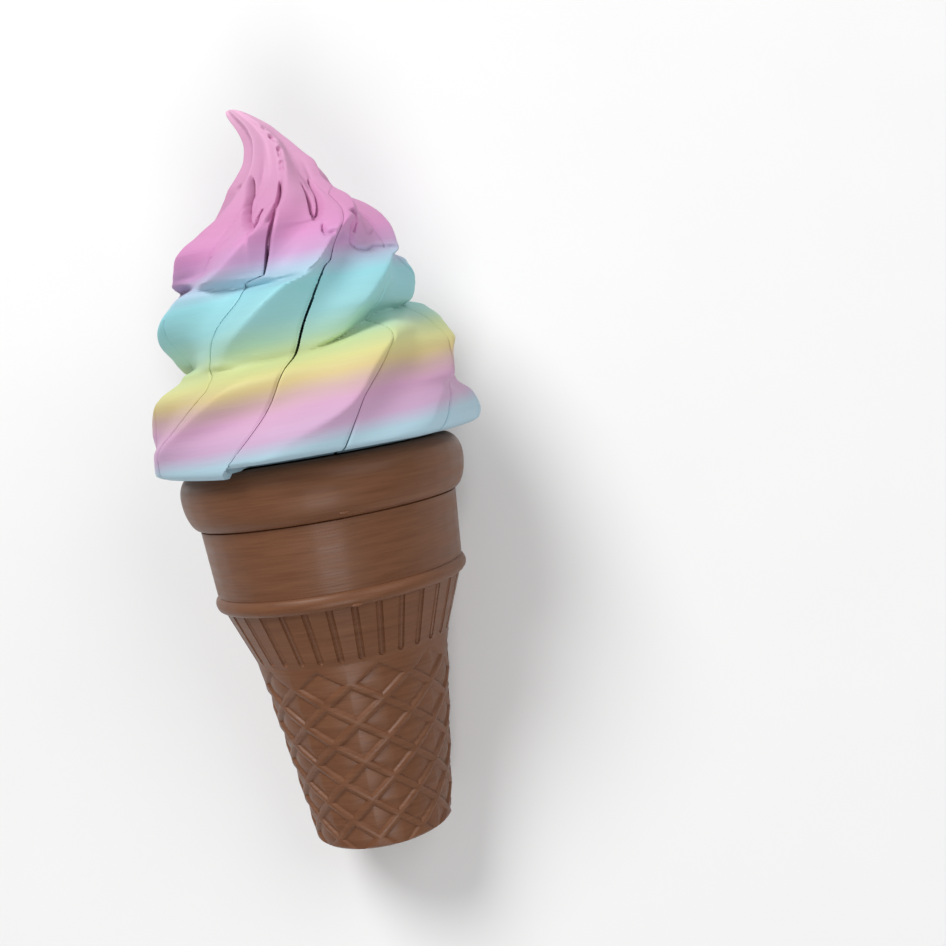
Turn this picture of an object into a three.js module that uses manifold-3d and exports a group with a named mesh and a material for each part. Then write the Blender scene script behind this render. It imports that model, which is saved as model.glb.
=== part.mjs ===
// A printed toy ice cream cone: a cup cone with a fluted funnel and a waffle wall, and a
// soft-serve swirl that five twisted slit pairs divide into a finned core and five petals.
//
// Every piece is built upright about the Z axis, in millimetres, with the cone's foot at
// height 0. Angles are in degrees: 0 faces -Y, the side that shows when the toy lies down,
// and 90 faces +X. The whole toy is then laid on its back, on flats cut into the cone's foot
// and into the widest turn of the swirl.

import * as THREE from 'three';
import * as BufferGeometryUtils from 'three/addons/utils/BufferGeometryUtils.js';
import Module from 'manifold-3d';

const wasm = await Module();
wasm.setup();

// ---------------------------------------------------------------- driving dimensions

const DEGREE = Math.PI / 180;

// Cone, from the foot up.
const CONE_SIDES = 32;
const CONE_FIRST_EDGE = -1;           // angle of one upright facet edge
const FOOT_RADIUS = 15.4;
const FOOT_ROUNDING = 2.0;
const COLLAR_HEIGHT = 42.3;           // where the waffle wall meets the flutes
const COLLAR_RADIUS = 21.6;
const BEAD_BOTTOM = 54.9;
const BEAD_RADIUS = 28.0;
const BEAD_THICKNESS = 3.6;
const FUNNEL_TOP_RADIUS = 26.4;
const BAND_BOTTOM_RADIUS = 27.3;
const BAND_TOP = 73.1;
const BAND_TOP_RADIUS = 28.4;
const RIM_RADIUS = 31.3;
const RIM_WIDEST = 80.4;
const RIM_TOP = 85.5;
const RIM_TOP_RADIUS = 29.0;

// Rounded profiles of the cone: how far inside the edge each arc is centred, its first and last
// angle from the outward direction, and its number of flats.
const LOWER_ROLL_INSET = 0.4;
const UPPER_ROLL_INSET = 1.4;
const FOOT_ARC_INSET = 0.4;
const BEAD_ARC = { from: -80, to: 60, steps: 4 };
const LOWER_ROLL_ARC = { from: -80, to: 0, steps: 4 };
const UPPER_ROLL_ARC = { from: 25, to: 60, steps: 2 };
const FOOT_ARC = { from: -90, to: 0, steps: 3 };

// How far pieces of one solid reach into each other.
const OVERLAP = 1;

// Waffle wall.
const WAFFLE_ROWS = 11;               // the first and the last are cut off and stay plain
const WAFFLE_COLUMNS = 10;
const WAFFLE_FIRST_COLUMN = 1;        // angle of one column of rib crossings
const WAFFLE_FIRST_CROSSING = 2.7;    // height of that column's lowest crossing
const WAFFLE_PITCH = 8.8;             // height between crossings of one column
const RIB_HALF_SHARE = 0.085;         // half a rib, as a share of the pocket
const POCKET_SLOPE_SHARE = 0.1;       // the pocket's sloping side, as a share of it
const POCKET_DEPTH = 0.75;

// Flutes.
const FLUTE_HALF_ANGLE = 3.9;
const FLUTE_GROOVE_DEPTH = 0.75;
const FLUTE_ROUND_END = 1.8;
const FLUTE_ROUND_END_SHARE = 0.75;   // of the full depth, halfway up the round end

// Swirl: height and value pairs, heights above the swirl's flat underside.
const SWIRL_BASE = 85.8;
const SWIRL_HEIGHT = 75.6;
const SWIRL_RADIUS = [
  [0, 35.2], [1, 36.2], [3, 36.3], [11, 35.2], [17, 33.6], [24, 31.2], [31, 29.4], [38, 27.2],
  [44, 25], [48, 22.2], [51.5, 17.8], [55, 13.3], [58.5, 9.6], [62, 7.4], [66, 5.6],
  [70, 3.8], [73.5, 2.3], [75.6, 0.2],
];
const AXIS_LEAN = [
  [0, 0], [4, 0.3], [12, 1.1], [20, 1.1], [28, 0.4], [42, 0.7], [48, 1.8], [54, 2.2],
  [61, 1.6], [66, 0.8], [70, -1.3], [73.5, -4.3], [75.6, -6.2],
];
const CREASE_DEPTH = [[0, 0], [6, 0.5], [12, 3], [20, 8], [29, 6.5], [38, 5], [44, 3], [50, 1], [54, 0]];
const FOLD_HEIGHT = [[0, 1], [3, 1.5], [10, 2.1], [45, 2.3], [55, 1.8], [65, 1], [75.6, 0.15]];

// How far the swirl's left and right sides lie inside an even rope, by height.
const LEFT_TRIM = [
  [0, 0.8], [3.5, 0.5], [6, -0.2], [9, 0.5], [13, 1.2], [17, 0.8], [19, 1.2], [20.5, -0.6],
  [22.5, -0.2], [25, 0.8], [28, 0.3], [31, -0.4], [34, -0.5], [36, -1], [38.5, 0], [40.5, 2.7],
  [42, 2.7], [43.5, 1.9], [45, 1], [46.5, 0.9], [48, 2], [50, 1.9], [53.5, 1.2], [56.5, 0.1],
  [58.5, -0.5], [60.5, 0.1], [64, 1], [67, 0.8], [71, 0.1],
];
const RIGHT_TRIM = [
  [0, 1.5], [3, 0.8], [6, 1.4], [8, 1.9], [10, 3], [12, 0.8], [15, 0], [19, -0.1], [22, 1.4],
  [25, 2.1], [27.2, 1.7], [28.8, -0.3], [31.5, 0.1], [35, 2.2], [38, 3.3], [39.8, 2.3],
  [41.5, 2.9], [47, 3.3], [52, 2], [54.4, 2.9], [56.5, 2.2], [59.4, -0.3], [61.5, -1.1],
  [64, 0.1], [67, 0.7], [71, 0],
];
const LEFT_SIDE = { angle: -78, spread: 40 };
const RIGHT_SIDE = { angle: 88, spread: 42 };

// The rope's turns: height of the crease between turns, and the turn it belongs to. The crease
// hangs lower in front, and rises again a little to the right.
const COIL_TURNS = [
  [-25, -1.1], [-4, -0.3], [11.4, 0.25], [20.6, 0.75], [29, 1.25], [38.3, 1.75], [40.6, 2.25],
  [50, 2.75], [60, 3.2], [84, 4],
];
const SAG = { depth: 4.4, angle: -3, spread: 46, full: [0, 12], gone: [45, 60] };
const RISE = { height: 5.1, angle: 33, spread: 14, centre: 42, reach: 7 };

// The crease: widths as shares of a turn, and how sharply it ends.
const CREASE_ABOVE = 0.3;
const CREASE_BELOW = 0.1;
const CREASE_BELOW_LEFT = 0.12;       // added on the left
const CREASE_BELOW_SKIRT = 0.1;       // added low down
const CREASE_POWER = 1.3;
const LOW_HEIGHTS = [8, 20];

// Where the crease is shallow and round, where the skirt has none, and where the upper one fades.
const SOFT_CREASE = { share: 0.48, angle: -28, spread: 34, power: 0.8, gone: [28, 34] };
const SKIRT = { gone: [10, 18], angles: [62, 92] };
const FADED_CREASE = { share: 0.97, heights: [32, 37], angles: [-4, 14], back: [115, 155] };

// Folds across the rope, counted round the swirl.
const FOLDS = 7;
const FOLD_START = -0.2;
const FOLD_RISE = 0.028;              // folds for each millimetre of height
const FOLD_RISE_LOSS = 0.006;         // less on the spire
const FOLD_SLIP = 0.45;               // folds that a turn slips under the next
const FOLD_SLIP_STARTS = [3, 9];
const SPIRE_UNTWIST = { folds: 0.2, heights: [52, 66] };
const SKIRT_SHIFT = { folds: 0.19, angle: 12, spread: 20, height: 9, reach: 7 };
const FOLD_CARRY_LEFT = [-175, -95];  // where the slip of one turn is handed on to the next
const FOLD_CARRY_RIGHT = [95, 175];
const FOLD_SHARPNESS = 0.72;
const RIDGE_LEVEL = 1.03;
const RIDGE_ROUNDING = 0.008;
const CALM_IN_CREASE = 0.35;          // folds flatten in the crease
const CALM_IN_SOFT_CREASE = 0.45;
const CALM_RIGHT = { share: 0.45, angle: 62, spread: 20, gone: [18, 26] };

// Slits: ten twisted sectors, fins and petals in turn, and a domed head that carries the spire.
const PETALS = 5;
const FIRST_SLIT = -57.5;             // angle of the first fin's first side, at the base
const SLIT_TWIST = 1.29;              // degrees for each millimetre of height
const SLIT_GAP = 0.36;
const WIDE_SLIT_GAP = 0.9;
const WIDE_SLIT_PETAL = 0;
const SECTOR_TOP = 64;
const SECTOR_INNER_RADIUS = 4;
const HEAD_SIDES = 30;
const HEAD_PROFILE = [[13, -2], [13, 36], [22.2, 43], [21.2, 46], [11.6, 60], [10, 66], [8, 80]];

// Mesh fineness.
const SECTOR_COLUMNS = 6;
const LIP_ROWS = [0, 0.9];
const FIRST_ROW = 2.4;
const SWIRL_ROW = 2;
const SPIRE_ROW = 2.4;
const SPIRE_START = 60;
const MERGE_DISTANCE = 1e-4;

// The lying pose: the toy rests on its back along one line from foot to swirl.
const REST_ANGLE = 174;
const REST_FOOT = [15, 1.8];          // radius and height of the flat at the foot
const REST_SWIRL = [35, SWIRL_BASE + 3];
const GROUND_SIZE = 400;

const BROWN = new THREE.MeshStandardMaterial({ color: 0x76503c, roughness: 0.5, metalness: 0 });
const PINK = new THREE.MeshStandardMaterial({ color: 0xe2a0cc, roughness: 0.75, metalness: 0 });
const BLUE = new THREE.MeshStandardMaterial({ color: 0x9adbe6, roughness: 0.75, metalness: 0 });

// ---------------------------------------------------------------- small helpers

// Point at an angle, a radius and a height.
function polar(angle, radius, height) {
  return [radius * Math.sin(angle * DEGREE), -radius * Math.cos(angle * DEGREE), height];
}

// An angle brought into the range from -180 to 180.
function wrapped(angle) {
  return angle - 360 * Math.round(angle / 360);
}

// 0 below the first value, 1 above the second, straight between.
function ramp(value, low, high) {
  return Math.min(1, Math.max(0, (value - low) / (high - low)));
}

// 1 at the centre, falling to 0 round it.
function bell(value, centre, spread) {
  return Math.exp(-(((value - centre) / spread) ** 2));
}

// A smooth curve through stations that doesn't overshoot between them.
function smoothCurve(stations) {
  const count = stations.length;
  const slopes = [];
  for (let i = 0; i + 1 < count; i++) {
    slopes.push((stations[i + 1][1] - stations[i][1]) / (stations[i + 1][0] - stations[i][0]));
  }
  const tangents = stations.map((_, i) => {
    const before = slopes[Math.max(0, i - 1)];
    const after = slopes[Math.min(count - 2, i)];
    return before * after <= 0 ? 0 : (2 * before * after) / (before + after);
  });
  return (position) => {
    let i = 0;
    while (i < count - 2 && position > stations[i + 1][0]) {
      i += 1;
    }
    const span = stations[i + 1][0] - stations[i][0];
    const t = ramp(position, stations[i][0], stations[i + 1][0]);
    const start = stations[i][1] * (1 + 2 * t) * (1 - t) ** 2 + tangents[i] * span * t * (1 - t) ** 2;
    const end = stations[i + 1][1] * t * t * (3 - 2 * t) - tangents[i + 1] * span * t * t * (1 - t);
    return start + end;
  };
}

// A geometry from a list of points and a list of triangles.
function geometryFrom(points, triangles) {
  const geometry = new THREE.BufferGeometry();
  geometry.setAttribute('position', new THREE.Float32BufferAttribute(points.flat(), 3));
  geometry.setIndex(triangles.flat());
  return geometry;
}

// A closed skin over rings of points, each ring running anticlockwise seen from above. The
// strip after the flipped point of each ring has its quads split the other way.
function skinOverRings(rings, flipped = -1) {
  const count = rings[0].length;
  const points = rings.flat();
  const triangles = [];
  for (let row = 0; row + 1 < rings.length; row++) {
    for (let i = 0; i < count; i++) {
      const j = (i + 1) % count;
      const a = row * count + i;
      const b = row * count + j;
      if (i === flipped) {
        triangles.push([a, b, a + count], [b, b + count, a + count]);
      } else {
        triangles.push([a, b, b + count], [a, b + count, a + count]);
      }
    }
  }
  const last = (rings.length - 1) * count;
  points.push(centreOf(rings[0]), centreOf(rings[rings.length - 1]));
  for (let i = 0; i < count; i++) {
    const j = (i + 1) % count;
    triangles.push([j, i, points.length - 2], [last + i, last + j, points.length - 1]);
  }
  return geometryFrom(points, triangles);
}

function centreOf(ring) {
  return [0, 1, 2].map((axis) => ring.reduce((sum, point) => sum + point[axis], 0) / ring.length);
}

// Conversions between a geometry and a solid that can be joined and cut.
function solidOf(geometry) {
  const bare = geometry.clone();
  bare.deleteAttribute('normal');
  bare.deleteAttribute('uv');
  const merged = BufferGeometryUtils.mergeVertices(bare, MERGE_DISTANCE);
  return new wasm.Manifold(new wasm.Mesh({
    numProp: 3,
    vertProperties: new Float32Array(merged.attributes.position.array),
    triVerts: new Uint32Array(merged.index.array),
  }));
}

function geometryOf(solid) {
  const mesh = solid.getMesh();
  const geometry = new THREE.BufferGeometry();
  geometry.setAttribute('position', new THREE.BufferAttribute(new Float32Array(mesh.vertProperties), 3));
  geometry.setIndex(new THREE.BufferAttribute(new Uint32Array(mesh.triVerts), 1));
  return geometry;
}

// A turned solid about the Z axis from radius and height pairs, closed on the axis.
function turned(profile, sides, firstEdge) {
  const closed = [[0, profile[0][1]], ...profile, [0, profile[profile.length - 1][1]]];
  const points = closed.map(([radius, height]) => new THREE.Vector2(radius, height));
  const lathe = new THREE.LatheGeometry(points, sides, firstEdge * DEGREE);
  lathe.rotateX(Math.PI / 2);
  return solidOf(lathe);
}

// ---------------------------------------------------------------- cone

// Radius of the plain waffle wall, which widens evenly from the foot to the collar.
function wallRadius(height) {
  return FOOT_RADIUS + ((COLLAR_RADIUS - FOOT_RADIUS) * height) / COLLAR_HEIGHT;
}

// Points along part of an ellipse, as radius and height pairs.
function arc(centre, radii, { from, to, steps }) {
  const points = [];
  for (let i = 0; i <= steps; i++) {
    const angle = (from + ((to - from) * i) / steps) * DEGREE;
    points.push([centre[0] + radii[0] * Math.cos(angle), centre[1] + radii[1] * Math.sin(angle)]);
  }
  return points;
}

// Part of a rounded profile that reaches an outer radius at one height and ends at another.
function rounding(centreRadius, outerRadius, widestHeight, endHeight, span) {
  const radii = [outerRadius - centreRadius, Math.abs(endHeight - widestHeight)];
  return arc([centreRadius, widestHeight], radii, span);
}

// Bead, band and rolled rim.
function upperCone() {
  const beadMiddle = BEAD_BOTTOM + BEAD_THICKNESS / 2;
  const lowerCentre = BAND_TOP_RADIUS - LOWER_ROLL_INSET;
  const upperCentre = RIM_TOP_RADIUS - UPPER_ROLL_INSET;
  const bead = rounding(FUNNEL_TOP_RADIUS, BEAD_RADIUS, beadMiddle, BEAD_BOTTOM, BEAD_ARC);
  const lowerRoll = rounding(lowerCentre, RIM_RADIUS, RIM_WIDEST, BAND_TOP, LOWER_ROLL_ARC);
  const upperRoll = rounding(upperCentre, RIM_RADIUS, RIM_WIDEST, RIM_TOP, UPPER_ROLL_ARC);
  return turned([
    [FUNNEL_TOP_RADIUS - OVERLAP, BEAD_BOTTOM],
    ...bead,
    [BAND_BOTTOM_RADIUS, BEAD_BOTTOM + BEAD_THICKNESS],
    [BAND_TOP_RADIUS, BAND_TOP],
    ...lowerRoll,
    ...upperRoll,
    [RIM_TOP_RADIUS, RIM_TOP],
  ], CONE_SIDES, CONE_FIRST_EDGE);
}

// Funnel of flat flutes with a groove along each facet edge, round at their lower ends.
function flutedFunnel() {
  const pitch = 360 / CONE_SIDES;
  const height = BEAD_BOTTOM - COLLAR_HEIGHT;
  const levels = [
    { rise: 0, depth: 0 },
    { rise: FLUTE_ROUND_END / 2, depth: FLUTE_ROUND_END_SHARE },
    { rise: FLUTE_ROUND_END, depth: 1 },
    { rise: height + OVERLAP, depth: 1 },
  ];
  const rings = levels.map(({ rise, depth }) => {
    const radius = COLLAR_RADIUS + ((FUNNEL_TOP_RADIUS - COLLAR_RADIUS) * rise) / height;
    const flat = (radius * Math.cos((pitch / 2) * DEGREE)) / Math.cos(FLUTE_HALF_ANGLE * DEGREE);
    const ring = [];
    for (let i = 0; i < CONE_SIDES; i++) {
      const middle = CONE_FIRST_EDGE + pitch * (i + 0.5);
      ring.push(polar(middle - FLUTE_HALF_ANGLE, flat, COLLAR_HEIGHT + rise));
      ring.push(polar(middle + FLUTE_HALF_ANGLE, flat, COLLAR_HEIGHT + rise));
      ring.push(polar(middle + pitch / 2, radius - FLUTE_GROOVE_DEPTH * depth, COLLAR_HEIGHT + rise));
    }
    return ring;
  });
  return solidOf(skinOverRings(rings));
}

// Four corners of a waffle pocket, drawn in by a share and sunk by a depth.
function pocketCorners(angle, height, share, depth) {
  const halfAngle = (180 / WAFFLE_COLUMNS) * (1 - share);
  const halfHeight = (WAFFLE_PITCH / 2) * (1 - share);
  const corner = (across, up) => {
    const level = height + halfHeight * up;
    return polar(angle + halfAngle * across, wallRadius(level) - depth, level);
  };
  return [corner(0, -1), corner(1, 0), corner(0, 1), corner(-1, 0)];
}

// Height and first angle of a row of pockets. Every other row is shifted by half a pocket.
function waffleRow(row) {
  const height = WAFFLE_FIRST_CROSSING + (WAFFLE_PITCH * (row - 1)) / 2;
  const shift = row % 2 === 0 ? 0 : 180 / WAFFLE_COLUMNS;
  return { height, firstAngle: WAFFLE_FIRST_COLUMN + shift };
}

// Adds a flat diamond to a growing skin.
function addDiamond(points, triangles, corners) {
  const start = points.length;
  points.push(...corners);
  triangles.push([start, start + 1, start + 2], [start, start + 2, start + 3]);
}

// Adds the strip between two diamonds, one inside the other.
function addDiamondRing(points, triangles, outer, inner) {
  const start = points.length;
  points.push(...outer, ...inner);
  for (let i = 0; i < 4; i++) {
    const j = (i + 1) % 4;
    triangles.push([start + i, start + j, start + 4 + j], [start + i, start + 4 + j, start + 4 + i]);
  }
}

// Adds one pocket: half the ribs round it, its sloping sides and its creased floor.
function addPocket(points, triangles, angle, height) {
  const floorShare = 2 * (RIB_HALF_SHARE + POCKET_SLOPE_SHARE);
  const rib = pocketCorners(angle, height, 0, 0);
  const edge = pocketCorners(angle, height, 2 * RIB_HALF_SHARE, 0);
  const floor = pocketCorners(angle, height, floorShare, POCKET_DEPTH);
  addDiamondRing(points, triangles, rib, edge);
  addDiamondRing(points, triangles, edge, floor);
  addDiamond(points, triangles, floor);
}

// Waffle wall: rows of diamond pockets between crossing ribs.
function waffleWall() {
  const points = [];
  const triangles = [];
  for (let row = 0; row < WAFFLE_ROWS; row++) {
    const { height, firstAngle } = waffleRow(row);
    const plain = row === 0 || row === WAFFLE_ROWS - 1;
    for (let column = 0; column < WAFFLE_COLUMNS; column++) {
      const angle = firstAngle + (360 / WAFFLE_COLUMNS) * column;
      if (plain) {
        addDiamond(points, triangles, pocketCorners(angle, height, 0, 0));
      } else {
        addPocket(points, triangles, angle, height);
      }
    }
  }
  closeWaffleEnd(points, triangles, 0, -1);
  closeWaffleEnd(points, triangles, WAFFLE_ROWS - 1, 1);
  return solidOf(geometryFrom(points, triangles));
}

// Closes the zigzag edge of the lattice's first or last row with a fan to the axis.
function closeWaffleEnd(points, triangles, row, side) {
  const pitchAngle = 360 / WAFFLE_COLUMNS;
  const { height, firstAngle } = waffleRow(row);
  const tip = height + (side * WAFFLE_PITCH) / 2;
  const start = points.length;
  points.push([0, 0, tip]);
  for (let column = 0; column < WAFFLE_COLUMNS; column++) {
    const angle = firstAngle + pitchAngle * column;
    points.push(polar(angle, wallRadius(tip), tip));
    points.push(polar(angle + pitchAngle / 2, wallRadius(height), height));
  }
  const count = 2 * WAFFLE_COLUMNS;
  for (let i = 0; i < count; i++) {
    const here = start + 1 + i;
    const next = start + 1 + ((i + 1) % count);
    triangles.push(side > 0 ? [here, next, start] : [next, here, start]);
  }
}

// The waffle wall between the foot and the collar, rounded at the foot.
function lowerCone() {
  const centre = FOOT_RADIUS - FOOT_ROUNDING;
  const foot = rounding(centre, FOOT_RADIUS + FOOT_ARC_INSET, FOOT_ROUNDING, 0, FOOT_ARC);
  const profile = [...foot, [COLLAR_RADIUS + OVERLAP, COLLAR_HEIGHT + OVERLAP]];
  return waffleWall().intersect(turned(profile, 2 * WAFFLE_COLUMNS, WAFFLE_FIRST_COLUMN));
}

function cone() {
  return upperCone().add(flutedFunnel()).add(lowerCone());
}

// ---------------------------------------------------------------- swirl

const swirlRadiusAt = smoothCurve(SWIRL_RADIUS);
const axisLeanAt = smoothCurve(AXIS_LEAN);
const creaseDepthAt = smoothCurve(CREASE_DEPTH);
const foldHeightAt = smoothCurve(FOLD_HEIGHT);
const coilTurnsAt = smoothCurve(COIL_TURNS);
const leftTrimAt = smoothCurve(LEFT_TRIM);
const rightTrimAt = smoothCurve(RIGHT_TRIM);

// The rope's turns below a point. A crease runs where the count is whole.
function turnsBelow(angle, height) {
  const sagging = ramp(height, ...SAG.full) * (1 - ramp(height, ...SAG.gone));
  const sag = SAG.depth * bell(angle, SAG.angle, SAG.spread) * sagging;
  const rise = RISE.height * bell(angle, RISE.angle, RISE.spread) * bell(height, RISE.centre, RISE.reach);
  return coilTurnsAt(height + sag - rise) - angle / 360;
}

// 1 where the crease is soft, falling to 0 round it.
function softness(angle, height) {
  return bell(angle, SOFT_CREASE.angle, SOFT_CREASE.spread) * (1 - ramp(height, ...SOFT_CREASE.gone));
}

// 1 in the crease, falling to 0 on the flank of the turn.
function creaseShape(angle, height, share) {
  const left = CREASE_BELOW_LEFT * Math.max(0, -Math.sin(angle * DEGREE));
  const below = CREASE_BELOW + left + CREASE_BELOW_SKIRT * (1 - ramp(height, ...LOW_HEIGHTS));
  const power = CREASE_POWER + SOFT_CREASE.power * softness(angle, height);
  return Math.max(
    Math.exp(-((share / CREASE_ABOVE) ** power)),
    Math.exp(-(((1 - share) / below) ** power)),
  );
}

// Turns whose slip has been handed on to a point, so that the folds run on where no crease is.
function carriedTurns(angle, turn) {
  if (turn < 0) {
    return ramp(angle, ...FOLD_CARRY_RIGHT) - 1;
  }
  return turn < 2 ? 0 : Math.floor(turn) - 2 + ramp(angle, ...FOLD_CARRY_LEFT);
}

// 1 on the ridge of a fold, -1 in its valley.
function foldShape(angle, height, turn) {
  const rise = FOLD_START + FOLD_RISE * height - FOLD_RISE_LOSS * Math.max(0, height - SPIRE_START);
  const slipped = turn - Math.floor(turn) + carriedTurns(angle, turn);
  const slip = FOLD_SLIP * slipped * ramp(height, ...FOLD_SLIP_STARTS);
  const untwist = SPIRE_UNTWIST.folds * ramp(height, ...SPIRE_UNTWIST.heights);
  const across = bell(angle, SKIRT_SHIFT.angle, SKIRT_SHIFT.spread);
  const shift = SKIRT_SHIFT.folds * across * bell(height, SKIRT_SHIFT.height, SKIRT_SHIFT.reach);
  const phase = (FOLDS * angle) / 360 - rise - slip + untwist - shift;
  const sharp = RIDGE_LEVEL - 2 * Math.sqrt(Math.sin(Math.PI * phase) ** 2 + RIDGE_ROUNDING);
  return FOLD_SHARPNESS * sharp + (1 - FOLD_SHARPNESS) * Math.cos(2 * Math.PI * phase);
}

// Depth of the crease, which varies round the swirl.
function creaseDepth(angle, height) {
  const soft = SOFT_CREASE.share * bell(angle, SOFT_CREASE.angle, SOFT_CREASE.spread);
  const skirt = (1 - ramp(height, ...SKIRT.gone)) * (1 - ramp(Math.abs(angle), ...SKIRT.angles));
  const right = ramp(angle, ...FADED_CREASE.angles) * (1 - ramp(angle, ...FADED_CREASE.back));
  const faded = FADED_CREASE.share * right * ramp(height, ...FADED_CREASE.heights);
  return creaseDepthAt(height) * (1 - soft) * (1 - skirt) * (1 - faded);
}

// Height of the folds, which calm down in creases and at the lower right.
function foldHeight(angle, height, crease) {
  const calm = (CALM_IN_CREASE + CALM_IN_SOFT_CREASE * softness(angle, height)) * crease;
  const side = bell(angle, CALM_RIGHT.angle, CALM_RIGHT.spread);
  const right = CALM_RIGHT.share * side * (1 - ramp(height, ...CALM_RIGHT.gone));
  return foldHeightAt(height) * (1 - calm) * (1 - right);
}

// The swirl's radius about its leaning axis.
function swirlRadius(anyAngle, height) {
  const angle = wrapped(anyAngle);
  const turn = turnsBelow(angle, height);
  const crease = creaseShape(angle, height, turn - Math.floor(turn));
  const left = leftTrimAt(height) * bell(angle, LEFT_SIDE.angle, LEFT_SIDE.spread);
  const right = rightTrimAt(height) * bell(angle, RIGHT_SIDE.angle, RIGHT_SIDE.spread);
  const fold = foldHeight(angle, height, crease) * foldShape(angle, height, turn);
  return swirlRadiusAt(height) - left - right - creaseDepth(angle, height) * crease + fold;
}

// Heights of the rows of points on the swirl.
function swirlRows() {
  const rows = [...LIP_ROWS];
  for (let height = FIRST_ROW; height < SPIRE_START; height += SWIRL_ROW) {
    rows.push(height);
  }
  for (let height = SPIRE_START; height < SWIRL_HEIGHT - 1; height += SPIRE_ROW) {
    rows.push(height);
  }
  rows.push(SWIRL_HEIGHT);
  return rows;
}

// A point of the swirl's skin, moved along the skin by a gap.
function swirlPoint(angle, height, gap = 0) {
  const moved = gap === 0 ? angle : angle + Math.asin(gap / swirlRadius(angle, height)) / DEGREE;
  return aboutLeaningAxis(moved, swirlRadius(moved, height), height);
}

function aboutLeaningAxis(angle, radius, height) {
  const [x, y] = polar(angle, radius, 0);
  return [x + axisLeanAt(height), y, SWIRL_BASE + height];
}

function slitAngle(slit, height) {
  return FIRST_SLIT + (180 / PETALS) * slit + SLIT_TWIST * height;
}

// The whole swirl before the slits. Its columns of points follow the slits' twist.
function swirl() {
  const columns = 2 * PETALS * SECTOR_COLUMNS;
  const rings = swirlRows().map((height) => {
    const ring = [];
    for (let i = 0; i < columns; i++) {
      ring.push(swirlPoint(slitAngle(i / SECTOR_COLUMNS, height), height));
    }
    return ring;
  });
  return solidOf(skinOverRings(rings));
}

// The swirl between two neighbouring slits, with its sides moved in by two gaps.
function swirlSector(slit, fromGap, toGap) {
  const rings = swirlRows().filter((height) => height <= SECTOR_TOP).map((height) => {
    const start = slitAngle(slit, height);
    const end = slitAngle(slit + 1, height);
    const shift = (gap) => Math.asin(gap / SECTOR_INNER_RADIUS) / DEGREE;
    const ring = [aboutLeaningAxis(start + shift(fromGap), SECTOR_INNER_RADIUS, height)];
    ring.push(swirlPoint(start, height, fromGap));
    for (let i = 1; i < SECTOR_COLUMNS; i++) {
      ring.push(swirlPoint(slitAngle(slit + i / SECTOR_COLUMNS, height), height));
    }
    ring.push(swirlPoint(end, height, -toGap));
    ring.push(aboutLeaningAxis(end - shift(toGap), SECTOR_INNER_RADIUS, height));
    return ring;
  });
  return solidOf(skinOverRings(rings, SECTOR_COLUMNS + 1));
}

// The domed head inside the petals, grown by a gap.
function head(gap) {
  const profile = HEAD_PROFILE.map(([radius, height]) => [radius + gap, SWIRL_BASE + height]);
  return turned(profile, HEAD_SIDES, 0);
}

// The spire, its head and the five twisted fins under it.
function swirlCore() {
  let core = swirl().intersect(head(0));
  for (let fin = 0; fin < PETALS; fin++) {
    core = core.add(swirlSector(2 * fin, 0, 0));
  }
  return core;
}

// One petal, between two fins and outside the head.
function swirlPetal(petal) {
  const fromGap = petal === WIDE_SLIT_PETAL ? WIDE_SLIT_GAP : SLIT_GAP;
  return largestPiece(swirlSector(2 * petal + 1, fromGap, SLIT_GAP).subtract(head(SLIT_GAP)));
}

// The largest of the separate pieces that a cut leaves.
function largestPiece(solid) {
  return solid.decompose().reduce((best, piece) => (piece.volume() > best.volume() ? piece : best));
}

// ---------------------------------------------------------------- lying pose

// Angle between the axis and the line of rest.
const REST_TILT = Math.atan2(REST_SWIRL[0] - REST_FOOT[0], REST_SWIRL[1] - REST_FOOT[1]);

// All that lies below the plane of rest.
function belowRest() {
  const block = new THREE.BoxGeometry(GROUND_SIZE, GROUND_SIZE, GROUND_SIZE);
  block.translate(0, GROUND_SIZE / 2, 0);
  block.rotateX(-REST_TILT);
  block.translate(0, REST_FOOT[0], REST_FOOT[1]);
  block.rotateZ((REST_ANGLE - 180) * DEGREE);
  return solidOf(block);
}

const ground = belowRest();

function node(name, solid, material) {
  const mesh = new THREE.Mesh(geometryOf(solid.subtract(ground)), material);
  mesh.name = name;
  return mesh;
}

const upright = new THREE.Group();
upright.add(node('cone', cone(), BROWN));
upright.add(node('swirl_core', swirlCore(), PINK));
for (let petal = 0; petal < PETALS; petal++) {
  upright.add(node(`swirl_petal_${petal + 1}`, swirlPetal(petal), BLUE));
}
upright.rotation.z = (180 - REST_ANGLE) * DEGREE;

const lying = new THREE.Group();
lying.add(upright);
lying.rotation.x = REST_TILT - Math.PI / 2;

const toy = new THREE.Group();
toy.add(lying);
toy.updateMatrixWorld(true);
const box = new THREE.Box3().setFromObject(toy, true);
const middle = box.getCenter(new THREE.Vector3());
toy.position.set(-middle.x, -middle.y, -box.min.z);

export default toy;
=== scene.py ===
"""Looks of a printed toy ice cream cone that lies on its back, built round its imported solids.

Every piece is modelled upright in millimetres, with the cone's foot at height 0 and the axis
along Z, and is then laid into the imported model's place. Angles are in degrees: 0 faces -Y, the
side that shows when the toy lies down, and 90 faces +X.
"""

import logging
import math
from collections.abc import Callable, Iterator, Sequence
from contextlib import contextmanager
from dataclasses import dataclass
from enum import Enum

import bmesh
import bpy
import numpy as np
from mathutils import Matrix, Vector


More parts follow.
